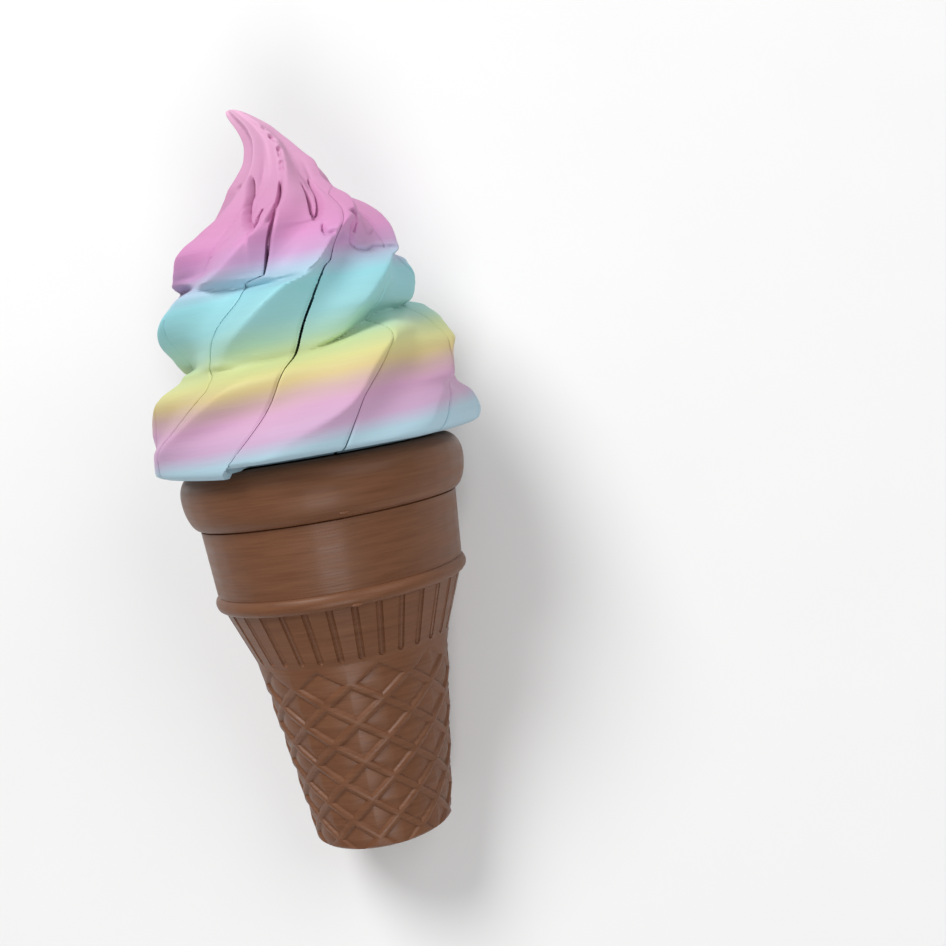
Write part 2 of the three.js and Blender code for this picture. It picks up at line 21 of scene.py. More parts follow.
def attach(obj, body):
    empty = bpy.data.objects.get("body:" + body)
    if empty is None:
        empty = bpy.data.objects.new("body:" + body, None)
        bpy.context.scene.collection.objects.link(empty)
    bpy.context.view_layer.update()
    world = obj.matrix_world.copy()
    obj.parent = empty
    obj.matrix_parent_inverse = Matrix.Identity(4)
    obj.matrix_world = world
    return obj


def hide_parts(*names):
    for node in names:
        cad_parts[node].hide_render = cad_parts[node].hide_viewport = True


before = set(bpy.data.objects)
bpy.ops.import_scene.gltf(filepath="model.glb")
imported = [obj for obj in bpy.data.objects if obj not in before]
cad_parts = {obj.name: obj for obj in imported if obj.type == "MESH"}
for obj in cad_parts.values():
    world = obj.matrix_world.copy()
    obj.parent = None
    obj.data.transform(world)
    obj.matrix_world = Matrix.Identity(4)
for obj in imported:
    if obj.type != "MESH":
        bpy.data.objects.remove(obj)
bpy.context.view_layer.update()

LOG = logging.getLogger("toy_ice_cream")
MILLIMETRE = 0.001
MERGE_DISTANCE = 1e-4
GROUND_PLAY = 1e-7
TIE = 1e-9
WHOLE = (0.0, 1.0)
NOISE_SPAN = (0.3, 0.7)
Span = tuple[float, float]
Stations = tuple[Span, ...]
Triple = tuple[float, float, float]
Shade = tuple[int, int, int]
Array = np.ndarray
Piece = bpy.types.Object
Socket = bpy.types.NodeSocket


class Cut(Enum):
    """How one solid works on another."""

    JOIN = "UNION"
    TAKE_AWAY = "DIFFERENCE"
    KEEP_SHARED = "INTERSECT"


# ---------------- curves and angles


def ramp(value: Array, low: float, high: float) -> Array:
    """Rises evenly from 0 at low to 1 at high, and is level outside."""
    return np.clip((value - low) / (high - low), 0.0, 1.0)


def bell(value: Array, centre: float, spread: float) -> Array:
    """Is 1 at the centre and falls off evenly on both sides."""
    return np.exp(-(((value - centre) / spread) ** 2))


def wrapped(angle: Array) -> Array:
    """Brings angles to between -180 and 180."""
    return angle - 360 * np.round(angle / 360)


def smooth_curve(stations: Stations, value: Array) -> Array:
    """Reads a smooth curve through stations that doesn't overshoot between them.

    Args:
        stations: Position and value pairs, with rising positions.
        value: Where the curve is read.

    Returns:
        The curve's values, level before the first station and after the last.
    """
    where, height = np.array(stations, float).T
    slopes = np.diff(height) / np.diff(where)
    before = np.concatenate([slopes[:1], slopes])
    after = np.concatenate([slopes, slopes[-1:]])
    product = before * after
    total = np.where(product > 0, before + after, 1.0)
    tangents = np.where(product > 0, 2 * product / total, 0.0)
    i = np.clip(np.searchsorted(where, value, side="right") - 1, 0, len(where) - 2)
    span = where[i + 1] - where[i]
    t = np.clip((value - where[i]) / span, 0.0, 1.0)
    start = height[i] * (1 + 2 * t) * (1 - t) ** 2 + tangents[i] * span * t * (1 - t) ** 2
    end = height[i + 1] * t * t * (3 - 2 * t) - tangents[i + 1] * span * t * t * (1 - t)
    return start + end


def polar(angle: Array, radius: Array, height: Array) -> Array:
    """Places points by angle in degrees, radius and height, in the last axis of the result."""
    turn = np.radians(angle)
    parts = np.broadcast_arrays(radius * np.sin(turn), -radius * np.cos(turn), height)
    return np.stack(parts, axis=-1)


def arc(centre: Span, radii: Span, angles: Span, steps: int) -> list[Span]:
    """Draws part of an ellipse as radius and height pairs. Angle 0 points outwards."""
    turns = np.radians(np.linspace(*angles, steps + 1))
    return [(centre[0] + radii[0] * math.cos(t), centre[1] + radii[1] * math.sin(t)) for t in turns]


# ---------------- modelling by hand


def select_only(piece: Piece) -> None:
    """Selects one object alone and makes it the active one."""
    bpy.ops.object.select_all(action="DESELECT")
    bpy.context.view_layer.objects.active = piece
    piece.select_set(True)


@contextmanager
def editing(piece: Piece) -> Iterator[None]:
    """Opens a piece in edit mode with all of it selected, and closes it afterwards."""
    select_only(piece)
    bpy.ops.object.mode_set(mode="EDIT")
    bpy.ops.mesh.select_all(action="SELECT")
    yield
    bpy.ops.object.mode_set(mode="OBJECT")


def named(piece: Piece, name: str) -> Piece:
    """Names an object and its mesh alike."""
    piece.name = name
    piece.data.name = name
    return piece


def started(name: str, add: Callable, **sizes: object) -> Piece:
    """Starts a piece from a primitive, with nothing else selected."""
    bpy.ops.object.select_all(action="DESELECT")
    add(**sizes)
    return named(bpy.context.object, name)


def copied(piece: Piece, name: str) -> Piece:
    """Copies an object with a mesh of its own."""
    twin = piece.copy()
    twin.data = piece.data.copy()
    bpy.context.scene.collection.objects.link(twin)
    return named(twin, name)


def joined(pieces: Sequence[Piece], name: str) -> Piece:
    """Joins pieces into the first of them."""
    select_only(pieces[0])
    for piece in pieces[1:]:
        piece.select_set(True)
    bpy.ops.object.join()
    return named(pieces[0], name)


def set_points(piece: Piece, points: Array) -> None:
    """Puts a mesh's points at new places, given in their order."""
    piece.data.vertices.foreach_set("co", points.astype(np.float32).ravel())
    piece.data.update()


def close_skin(piece: Piece) -> None:
    """Merges doubled points, fills open ends and turns all faces outwards."""
    with editing(piece):
        bpy.ops.mesh.remove_doubles(threshold=MERGE_DISTANCE)
        bpy.ops.mesh.dissolve_degenerate(threshold=MERGE_DISTANCE)
        bpy.ops.mesh.delete_loose(use_verts=True, use_edges=True, use_faces=False)
        bpy.ops.mesh.select_all(action="SELECT")
        bpy.ops.mesh.fill_holes(sides=0)
        bpy.ops.mesh.select_all(action="SELECT")
        bpy.ops.mesh.normals_make_consistent(inside=False)


def skin(name: str, rings: Array) -> Piece:
    """Wraps a grid round rings of points and closes it into a solid.

    Args:
        name: Name of the piece.
        rings: Points by ring and by place in the ring.

    Returns:
        The closed piece. A ring whose points all coincide becomes a pole.
    """
    count, around = rings.shape[:2]
    piece = started(name, bpy.ops.mesh.primitive_grid_add, x_subdivisions=around,
                    y_subdivisions=count - 1, size=1)
    set_points(piece, np.concatenate([rings, rings[:, :1]], axis=1))
    close_skin(piece)
    return piece


def turned(name: str, profile: Sequence[Span], sides: int, first_edge: float) -> Piece:
    """Spins a profile about the axis into a many-sided solid.

    Args:
        name: Name of the piece.
        profile: Radius and height pairs from the bottom up.
        sides: Number of flat sides.
        first_edge: Angle of one upright edge.

    Returns:
        The closed piece.
    """
    outline = [(0.0, profile[0][1]), *profile, (0.0, profile[-1][1])]
    piece = started(name, bpy.ops.mesh.primitive_circle_add, vertices=len(outline), radius=1)
    for vertex, (radius, height) in zip(piece.data.vertices, outline):
        vertex.co = polar(first_edge, radius, height).tolist()
    with editing(piece):
        bpy.ops.mesh.spin(steps=sides, angle=math.tau, center=(0, 0, 0), axis=(0, 0, 1))
    close_skin(piece)
    return piece


def combine(piece: Piece, tool: Piece, cut: Cut) -> None:
    """Works one solid with another, which is used up."""
    modifier = piece.modifiers.new("cut", "BOOLEAN")
    modifier.object = tool
    modifier.operation = cut.value
    modifier.solver = "MANIFOLD"
    select_only(piece)
    bpy.ops.object.modifier_apply(modifier=modifier.name)
    bpy.data.objects.remove(tool)


def keep_largest_part(piece: Piece) -> None:
    """Deletes all but the largest connected part of a piece."""
    mesh = bmesh.new()
    mesh.from_mesh(piece.data)
    unseen = set(mesh.verts)
    parts: list[set] = []
    while unseen:
        part, edge = set(), [unseen.pop()]
        while edge:
            vertex = edge.pop()
            part.add(vertex)
            near = {e.other_vert(vertex) for e in vertex.link_edges} & unseen
            unseen -= near
            edge.extend(near)
        parts.append(part)
    largest = max(parts, key=len)
    bmesh.ops.delete(mesh, geom=[v for v in mesh.verts if v not in largest], context="VERTS")
    mesh.to_mesh(piece.data)
    mesh.free()


# ---------------- place in the frame


@dataclass(frozen=True)
class LyingPlace:
    """Where the lying toy stands in the frame, read from the flat end of its cone."""

    spin: float = 6.0
    end_normal: float = -0.95
    end_play: float = 0.00001
    foot_reach: float = 0.006

    def matrix(self) -> Matrix:
        """Finds the move from upright millimetres to the frame.

        Returns:
            The placing matrix.
        """
        facing = [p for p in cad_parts["cone"].data.polygons if p.normal.y < self.end_normal]
        foot = min(p.center.y for p in facing) + self.foot_reach
        main_face = max((p for p in facing if p.center.y < foot), key=lambda p: p.area)
        axis = -main_face.normal
        flat = [p for p in facing if abs((p.center - main_face.center).dot(axis)) < self.end_play]
        area = sum(p.area for p in flat)
        centre = sum((p.center * p.area for p in flat), Vector()) / area
        lean = math.atan2(axis.z, axis.y) - math.pi / 2
        turn = Matrix.Rotation(lean, 4, "X") @ Matrix.Rotation(math.radians(self.spin), 4, "Z")
        return Matrix.Translation(centre) @ turn @ Matrix.Scale(MILLIMETRE, 4)


PLACE = LyingPlace().matrix()
IN_METRES = PLACE @ Matrix.Scale(1 / MILLIMETRE, 4)


def lay_down(piece: Piece, crease_angle: float) -> None:
    """Moves a finished piece into the frame, cuts it off at the ground and shades it."""
    piece.data.transform(PLACE)
    if min(v.co.z for v in piece.data.vertices) < 0:
        with editing(piece):
            bpy.ops.mesh.bisect(plane_co=(0, 0, 0), plane_no=(0, 0, 1), use_fill=True,
                                clear_inner=True, threshold=GROUND_PLAY)
    select_only(piece)
    bpy.ops.object.shade_smooth_by_angle(angle=math.radians(crease_angle))


# ---------------- swirl


@dataclass(frozen=True)
class Patch:
    """A soft-edged patch of the swirl's skin, where something is stronger."""

    strength: float
    around: Span
    rises: Span | None = None
    falls: Span | None = None
    band: Span | None = None

    def at(self, angle: Array, height: Array) -> Array:
        """Gives the patch's strength at points, which may rise, fall or fade with height."""
        strength = self.strength * bell(angle, *self.around)
        if self.rises:
            strength = strength * ramp(height, *self.rises)
        if self.falls:
            strength = strength * (1 - ramp(height, *self.falls))
        return strength * bell(height, *self.band) if self.band else strength


@dataclass(frozen=True)
class Rope:
    """The soft-serve rope's skin, as a radius for each angle and height."""

    base: float = 85.8
    height: float = 75.6
    radius: Stations = (
        (0, 35.2), (1, 36.2), (3, 36.3), (11, 35.2), (17, 33.6), (24, 31.2), (31, 29.4), (38, 27.2),
        (44, 25), (48, 22.2), (51.5, 17.8), (55, 13.3), (58.5, 9.6), (62, 7.4), (66, 5.6),
        (70, 3.8), (73.5, 2.5), (75, 1.6), (75.6, 0.2))
    lean: Stations = (
        (0, 0), (4, 0.3), (12, 1.1), (20, 1.1), (28, 0.4), (42, 0.7), (48, 1.8), (54, 2.2),
        (61, 1.6), (66, 0.8), (70, -1.3), (73.5, -4.3), (75.6, -6.2))
    crease_depth: Stations = (
        (0, 0), (6, 0.5), (12, 3), (20, 8), (29, 6.5), (38, 5), (44, 3), (50, 1), (54, 0))
    fold_height: Stations = (
        (0, 1.0), (3, 1.5), (10, 2.1), (45, 2.3), (55, 1.8), (65, 1.0), (75.6, 0.15))
    coil_turns: Stations = (
        (-25, -1.1), (-4, -0.3), (11.4, 0.25), (20.6, 0.75), (29, 1.25), (38.3, 1.75),
        (40.6, 2.25), (50, 2.75), (60, 3.2), (84, 4))
    sag: Patch = Patch(4.4, (-3, 46), rises=(0, 12), falls=(45, 60))
    rise: Patch = Patch(5.1, (33, 14), band=(42, 7))
    crease_power: float = 1.3
    crease_above: float = 0.3
    crease_below: float = 0.1
    wider_left: float = 0.12
    wider_low: float = 0.1
    low: Span = (8, 20)
    blunt: Patch = Patch(0.8, (-28, 34), falls=(28, 34))
    shallow: Patch = Patch(0.48, (-28, 34))
    skirt_height: Span = (10, 18)
    skirt_width: Span = (62, 92)
    faded: float = 0.97
    faded_from: Span = (-4, 14)
    faded_to: Span = (115, 155)
    faded_above: Span = (32, 37)
    folds: int = 7
    fold_start: float = -0.2
    fold_rise: float = 0.028
    fold_slowing: float = 0.006
    spire: float = 60
    fold_slip: float = 0.45
    slip_above: Span = (3, 9)
    spire_slip: float = 0.2
    spire_slip_above: Span = (52, 66)
    fold_shift: Patch = Patch(0.19, (12, 20), band=(9, 7))
    top_lap: int = 2
    seam_before: Span = (-175, -95)
    seam_after: Span = (95, 175)
    ridge_top: float = 1.05
    ridge_round: float = 0.003
    ridge_share: float = 0.84
    wave_share: float = 0.16
    crease_calm: float = 0.35
    calm: Patch = Patch(0.45, (-28, 34), falls=(28, 34))
    calm_right: Patch = Patch(0.45, (62, 20), falls=(18, 26))
    left_side: Span = (-78, 40)
    right_side: Span = (88, 42)
    left_trim: Stations = (
        (0, 0.8), (3.5, 0.5), (6, -0.2), (9, 0.5), (13, 1.2), (17, 0.8), (19, 1.2), (20.5, -0.6),
        (22.5, -0.2), (25, 0.8), (28, 0.3), (31, -0.4), (34, -0.5), (36, -1), (38.5, 0),
        (40.5, 2.7), (42, 2.7), (43.5, 1.9), (45, 1), (46.5, 0.9), (48, 2), (50, 1.9),
        (53.5, 1.2), (56.5, 0.1), (58.5, -0.5), (60.5, 0.1), (64, 1), (67, 0.8), (71, 0.1))
    right_trim: Stations = (
        (0, 1.5), (3, 0.8), (6, 1.4), (8, 1.9), (10, 3), (12, 0.8), (15, 0), (19, -0.1), (22, 1.4),
        (25, 2.1), (27.2, 1.7), (28.8, -0.3), (31.5, 0.1), (35, 2.2), (38, 3.3), (39.8, 2.3),
        (41.5, 2.9), (47, 3.3), (52, 2), (54.4, 2.9), (56.5, 2.2), (59.4, -0.3), (61.5, -1.1),
        (64, 0.1), (67, 0.7), (71, 0))

    def turns(self, angle: Array, height: Array) -> Array:
        """Counts the rope's turns below a point. A crease runs where the count is whole."""
        sag = self.sag.at(angle, height) - self.rise.at(angle, height)
        return smooth_curve(self.coil_turns, height + sag) - angle / 360

    def crease(self, angle: Array, height: Array, share: Array) -> Array:
        """Is 1 in the crease between turns and falls to 0 on the flank."""
        left = np.maximum(0, -np.sin(np.radians(angle)))
        below = self.crease_below + self.wider_left * left
        below = below + self.wider_low * (1 - ramp(height, *self.low))
        power = self.crease_power + self.blunt.at(angle, height)
        above = np.exp(-((share / self.crease_above) ** power))
        return np.maximum(above, np.exp(-(((1 - share) / below) ** power)))

    def fold(self, angle: Array, height: Array, turn: Array) -> Array:
        """Is 1 on the ridge of a fold and -1 in its valley."""
        lap = np.floor(turn)
        above = lap - self.top_lap + ramp(angle, *self.seam_before)
        carried = np.where(lap >= self.top_lap, above, 0)
        carried -= np.where(lap < 0, 1 - ramp(angle, *self.seam_after), 0)
        rise = self.fold_start + self.fold_rise * height
        rise = rise - self.fold_slowing * np.maximum(0, height - self.spire)
        slip = self.fold_slip * (turn - lap + carried) * ramp(height, *self.slip_above)
        slip = slip - self.spire_slip * ramp(height, *self.spire_slip_above)
        phase = self.folds * angle / 360 - rise - slip - self.fold_shift.at(angle, height)
        sharp = self.ridge_top - 2 * np.sqrt(np.sin(np.pi * phase) ** 2 + self.ridge_round)
        return self.ridge_share * sharp + self.wave_share * np.cos(2 * np.pi * phase)

    def crease_depth_at(self, angle: Array, height: Array) -> Array:
        """Gives the depth of the crease, which varies round the swirl."""
        soft = self.shallow.at(angle, height)
        skirt = 1 - ramp(height, *self.skirt_height)
        skirt = skirt * (1 - ramp(np.abs(angle), *self.skirt_width))
        fading = self.faded * ramp(angle, *self.faded_from) * (1 - ramp(angle, *self.faded_to))
        fading = fading * ramp(height, *self.faded_above)
        return smooth_curve(self.crease_depth, height) * (1 - soft) * (1 - skirt) * (1 - fading)

    def fold_height_at(self, angle: Array, height: Array, crease: Array) -> Array:
        """Gives the height of the folds, which calm down in creases and at the lower right."""
        calm = self.crease_calm + self.calm.at(angle, height)
        right = self.calm_right.at(angle, height)
        return smooth_curve(self.fold_height, height) * (1 - calm * crease) * (1 - right)

    def radius_at(self, any_angle: Array, height: Array) -> Array:
        """Gives the skin's distance from the leaning axis."""
        angle = wrapped(any_angle)
        turn = self.turns(angle, height)
        crease = self.crease(angle, height, turn - np.floor(turn))
        plain = smooth_curve(self.radius, height)
        plain -= smooth_curve(self.left_trim, height) * bell(angle, *self.left_side)
        plain -= smooth_curve(self.right_trim, height) * bell(angle, *self.right_side)
        fold = self.fold_height_at(angle, height, crease) * self.fold(angle, height, turn)
        return plain - self.crease_depth_at(angle, height) * crease + fold

    def about_axis(self, angle: Array, radius: Array, height: Array) -> Array:
        """Places points about the leaning axis."""
        points = polar(angle, radius, self.base + height)
        points[..., 0] += smooth_curve(self.lean, height)
        return points


@dataclass(frozen=True)
class Slits:
    """The ten twisted slits that divide the swirl into fins and petals."""

    petals: int = 5
    first: float = -57.5
    twist: float = 1.29
    inner: float = 4.0
    outer: float = 46.0
    top: float = 66.0
    bottom: float = -4.0
    row: float = 0.5
    widths: tuple[Stations, ...] = (
        ((0, 0.16), (36, 0.2), (38, 0.5), (42, 0.85), (50, 0.8), (54, 0.5), (57, 0.2)),
        ((0, 0.25), (14, 0.22), (18, 0.3), (20, 0.6), (30, 0.6), (35, 0.45), (39, 0.25),
         (42, 0.16)),
        ((0, 0.7), (1.2, 0.3), (6, 0.2), (40, 0.16)),
        ((0, 0.16), (60, 0.16)))
    detours: tuple[Stations, ...] = (
        ((0, -2), (6, -4), (12, 0.5), (16, 3.7), (18.3, -1.5), (20.3, -6.8), (23, -7.2), (28, -5.6),
         (33, -1.1), (36.2, -3.4), (36.9, 4.9), (41, 3.4), (45, 0), (48.5, -3.5), (52, -6.5),
         (56, -9.5)),
        ((0, -3.4), (3, -2.1), (6, -1.3), (12, -2), (18.5, -3.9), (34, -4.2), (36.8, -3.7),
         (38, -1.5), (44, -3.3)),
        ((0, 0), (3, -1.4), (7, -3.5), (11, -5.4), (17, -3.4), (30, -2.5)))

    def detour(self, slit: Array, height: Array) -> Array:
        """Tells how far a slit strays from its even twist."""
        whole = np.mod(slit, 2 * self.petals)
        return sum((smooth_curve(stations, height) * (whole == number)
                    for number, stations in enumerate(self.detours)), np.zeros_like(height))

    def angle(self, place: Array, height: Array) -> Array:
        """Gives the angle at a height of a slit, or of a place between two slits."""
        before = np.floor(place)
        share = place - before
        stray = self.detour(before, height) * (1 - share) + self.detour(before + 1, height) * share
        return self.first + 180 / self.petals * place + self.twist * height + stray

    def gap(self, slit: int, height: Array) -> Array:
        """Gives a slit's width at a height."""
        number = slit % (2 * self.petals)
        return smooth_curve(self.widths[min(number, len(self.widths) - 1)], height)

    def wedge(self, petal: int, open_slits: bool, rope: Rope) -> Piece:
        """Builds the twisted wedge between a petal's two slits.

        Args:
            petal: The petal's number.
            open_slits: Whether the wedge is narrower by the slits' widths.
            rope: The rope whose axis the wedge follows.

        Returns:
            The closed wedge.
        """
        height = np.arange(self.bottom, self.top + self.row, self.row)
        corners = []
        for slit, side in ((2 * petal + 1, 1), (2 * petal + 2, -1)):
            gap = self.gap(slit, height) * open_slits
            for radius in (self.inner, self.outer):
                shift = np.degrees(np.arcsin(side * gap / radius))
                corners.append(rope.about_axis(self.angle(slit, height) + shift, radius, height))
        order = [corners[0], corners[1], corners[3], corners[2]]
        return skin("petal_wedge", np.stack(order, axis=1))


@dataclass(frozen=True)
class Tear:
    """A torn edge drawn on the swirl's skin: the side on its left stands proud."""

    line: Stations
    groove: float = 2.8
    width: float = 0.34
    lift: float = 0.3
    drop: float = 0.5
    reach: float = 2.6
    fades_in: float = 1.2
    fades_out: float = 2.0

    def relief(self, rope: Rope, angle: Array, height: Array) -> Array:
        """Works out how far the tear moves the skin outwards.

        Args:
            rope: The rope whose radius sets the scale across.
            angle: Angles of the skin's points.
            height: Heights of the skin's points.

        Returns:
            The change of radius.
        """
        line = np.array(self.line, float)
        scale = math.radians(1) * float(smooth_curve(rope.radius, line[:, 1].mean()))
        x, y, points = angle * scale, height, line * (scale, 1)
        span = np.linalg.norm(np.diff(points, axis=0), axis=1)
        start = np.concatenate([[0], np.cumsum(span)])
        nearest, side, along = np.full(x.shape, np.inf), np.zeros(x.shape), np.zeros(x.shape)
        for (ax, ay), (bx, by), length, before in zip(points, points[1:], span, start):
            ux, uy = (bx - ax) / length, (by - ay) / length
            run = np.clip((x - ax) * ux + (y - ay) * uy, 0, length)
            away = np.hypot(x - ax - run * ux, y - ay - run * uy)
            closer = away < nearest - TIE
            nearest = np.where(closer, away, nearest)
            side = np.where(closer, np.sign(ux * (y - ay) - uy * (x - ax)), side)
            along = np.where(closer, before + run, along)
        fade = ramp(along, 0, self.fades_in)
        fade = fade * (1 - ramp(along, start[-1] - self.fades_out, start[-1]))
        step = np.where(side > 0, self.lift, -self.drop) * np.exp(-nearest / self.reach)
        return fade * (step - self.groove * bell(nearest, 0, self.width))


@dataclass(frozen=True)
class TornTop:
    """Torn edges and pits where the spire leaves the petals."""

    tears: tuple[Tear, ...] = (
        Tear(((-8.6, 51), (-9.1, 49.3), (-8.1, 47.4), (-8.6, 46), (-12.5, 46.9), (-17.6, 48.7),
              (-22.2, 51), (-24.7, 53), (-26.1, 55.3), (-27.7, 57), (-29.4, 59.4)),
             groove=3.8, lift=0.5, drop=0.7),
        Tear(((47, 57), (42, 55.3), (37.5, 53.2), (33.5, 51.5), (29.5, 49.5), (25.5, 47.5),
              (23.5, 46.9), (22.5, 48.5), (25, 52), (28.5, 56)), lift=0.45, drop=0.7),
        Tear(((31, 43.4), (28, 43.1), (25.6, 43.2), (25, 44.2), (26, 46)),
             groove=2.2, lift=0.25, drop=0.25, reach=1.6),
        Tear(((42.6, 43.2), (44.5, 44), (45.8, 45.6), (45.4, 47), (43, 47.6), (39, 47.4)),
             groove=2.2, lift=0.1, drop=0.25, reach=1.2),
        Tear(((40.6, 46), (40.6, 44), (41.5, 41.5), (44, 39.9), (50, 39.5), (56, 40.3), (72, 40)),
             groove=1.5, width=0.25, lift=0.15, drop=0.1),
        Tear(((-1.5, 46.5), (-0.5, 48), (0.5, 50), (3, 53), (4.5, 55.5), (6, 57.2)),
             width=0.42, lift=0, drop=0),
    )
    pits: tuple[Triple, ...] = (
        (31, 69.7, 1.3), (23.5, 67.4, 1.9), (25, 66.5, 0.9), (21.5, 64.3, 2.1), (19, 63, 1.6),
        (16, 61.2, 1.6), (13.5, 59.8, 1.3), (-67, 58.2, 1.0))
    pit_size: float = 0.45
    front: float = 110.0
    above: float = 34.0

    def relief(self, rope: Rope, any_angle: Array, height: Array) -> Array:
        """Adds up the reliefs of all the tears and pits."""
        angle = wrapped(any_angle)
        total = np.zeros_like(angle)
        near = (np.abs(angle) < self.front) & (height > self.above)
        where = (angle[near], height[near])
        total[near] = sum(tear.relief(rope, *where) for tear in self.tears)
        for pit_angle, pit_height, depth in self.pits:
            scale = math.radians(1) * float(smooth_curve(rope.radius, pit_height))
            away = np.hypot((where[0] - pit_angle) * scale, where[1] - pit_height)
            total[near] -= depth * bell(away, 0, self.pit_size)
        return total


@dataclass
class Swirl:
    """The swirl: a core with a spire and five fins, and five petals between the fins."""

    rope: Rope = Rope()
    slits: Slits = Slits()
    columns: int = 48
    crowding: float = 0.5
    row: float = 0.42
    top_from: float = 38.0
    top_row: float = 0.26
    fine_row: float = 0.1
    fine_places: int = 160
    softness: float = 0.3
    softness_across: float = 1.4
    taps_reach: float = 3.0
    hem_rows: tuple[float, ...] = (0, 0.12, 0.3, 0.55)
    hem: float = 0.85
    hem_round: float = 0.8
    edge_round: float = 0.3
    edge_width: float = 0.45
    edges_end: Span = (58, 64)
    droop: float = 1.3
    droop_from: Span = (42, 4)
    droop_height: float = 7.0
    lift: float = 0.7
    lifted_slits: int = 9
    lip_radius: float = 31.7
    hung_radius: float = 32.6
    seat_radius: float = 26.6
    ring_gap: float = 0.2
    tip_gap: float = 0.3
    crease_angle: float = 34.0
    head_sides: int = 90
    head_profile: Stations = (
        (13, -5), (13, 36), (22.2, 43), (21.2, 46), (11.6, 60), (10, 66), (8, 80))
    head_gap: float = 0.2

    def sag_at(self, place: Array, angle: Array) -> Array:
        """Tells how far the lip hangs: it does left of the second slit, and is lifted elsewhere."""
        slit = self.slits.first + 180 / self.slits.petals
        hanging = self.droop * ramp(angle, *(slit - before for before in self.droop_from))
        return np.where(place < 1, hanging, -self.lift * (place < self.lifted_slits))

    def softened_radius(self, place: Array, heights: Array) -> Array:
        """Reads the rope's radius from a fine table whose edges are rounded a little.

        Args:
            place: Places round the swirl, in slits.
            heights: Heights above the underside.

        Returns:
            Radii by height and place.
        """
        rope, slits, fine = self.rope, self.slits, self.fine_places
        across, up = np.meshgrid(np.arange(2 * slits.petals * fine) / fine,
                                 np.arange(0, rope.height + self.fine_row, self.fine_row))
        angle = slits.angle(across, up)
        table = rope.radius_at(angle, np.minimum(up, rope.height))
        table += TornTop().relief(rope, angle, up)
        for axis, spread in ((0, self.softness / self.fine_row), (1, self.softness_across)):
            reach = math.ceil(self.taps_reach * spread)
            taps = np.exp(-((np.arange(-reach, reach + 1) / spread) ** 2) / 2)
            width = [(reach, reach) if i == axis else (0, 0) for i in range(2)]
            padded = np.pad(table, width, mode="edge" if axis == 0 else "wrap")
            table = sum(tap * np.take(padded, range(k, k + table.shape[axis]), axis)
                        for k, tap in enumerate(taps / taps.sum()))
        row, column = heights / self.fine_row, place * fine
        low, left = np.floor(row).astype(int), np.floor(column).astype(int)
        down, side = (row - low)[:, None], (column - left)[None]
        right = (left + 1) % table.shape[1]
        lower = table[low][:, left] * (1 - side) + table[low][:, right] * side
        upper = table[low + 1][:, left] * (1 - side) + table[low + 1][:, right] * side
        return lower * (1 - down) + upper * down

    def skin_rings(self) -> Array:
        """Sets out the swirl's skin from the middle of its underside to its tip.

        Returns:
            Points by ring and by place in the ring.
        """
        rope, slits = self.rope, self.slits
        even = np.arange(self.columns) / self.columns
        crowded = even - self.crowding * np.sin(2 * np.pi * even) / (2 * np.pi)
        place = (np.arange(2 * slits.petals)[:, None] + crowded[None]).ravel()
        heights = np.concatenate([
            self.hem_rows, np.arange(self.hem, self.top_from, self.row),
            np.arange(self.top_from + self.top_row, rope.height - self.tip_gap, self.top_row)])
        radius = self.softened_radius(place, heights)
        across, up = np.meshgrid(place, heights)
        angle = slits.angle(across, up)
        from_slit = (crowded - np.round(crowded)) * (180 / slits.petals)
        off = np.abs(np.tile(from_slit, 2 * slits.petals))[None] * np.pi / 180 * radius
        low = 1 - ramp(up, *self.edges_end)
        radius -= self.edge_round * bell(off, 0, self.edge_width) * low
        radius -= self.hem_round * (1 - ramp(up, 0, self.hem)) ** 2
        skin_points = rope.about_axis(angle, radius, up)
        sag = self.sag_at(place, wrapped(angle[0]))
        skin_points[..., 2] -= sag * (1 - ramp(up, 0, self.droop_height)) ** 2
        inner = np.where(sag < 0, self.seat_radius, self.hung_radius - self.ring_gap)
        outer = np.where(sag < 0, self.lip_radius, self.hung_radius)
        seat, ledge, lip = (rope.about_axis(angle[0], reach, 0.0)
                            for reach in (self.seat_radius - self.ring_gap, inner, outer))
        ledge[:, 2] -= np.minimum(sag, 0)
        lip[:, 2] -= sag
        pole = np.broadcast_to([0, 0, rope.base], ledge.shape)
        top = np.broadcast_to(rope.about_axis(0.0, 0.0, rope.height), ledge.shape)
        return np.concatenate([[pole], [seat], [ledge], [lip], skin_points, [top]])

    def petal_tool(self, petal: int, open_slits: bool) -> Piece:
        """Takes the domed head inside the petals away from a petal's wedge."""
        gap = self.head_gap * open_slits
        profile = [(radius + gap, self.rope.base + height) for radius, height in self.head_profile]
        tool = self.slits.wedge(petal, open_slits, self.rope)
        combine(tool, turned("head", profile, self.head_sides, 0), Cut.TAKE_AWAY)
        return tool

    def build(self) -> list[Piece]:
        """Builds the core and the petals.

        Returns:
            The core, then the petals in order.
        """
        whole = skin("swirl_whole", self.skin_rings())
        core = copied(whole, "swirl_core_skin")
        pieces = [core]
        for petal in range(self.slits.petals):
            combine(core, self.petal_tool(petal, False), Cut.TAKE_AWAY)
            piece = copied(whole, f"petal_skin_{petal + 1}")
            combine(piece, self.petal_tool(petal, True), Cut.KEEP_SHARED)
            keep_largest_part(piece)
            pieces.append(piece)
        bpy.data.objects.remove(whole)
        keep_largest_part(core)
        for piece in pieces:
            lay_down(piece, self.crease_angle)
        return pieces


# ---------------- cone


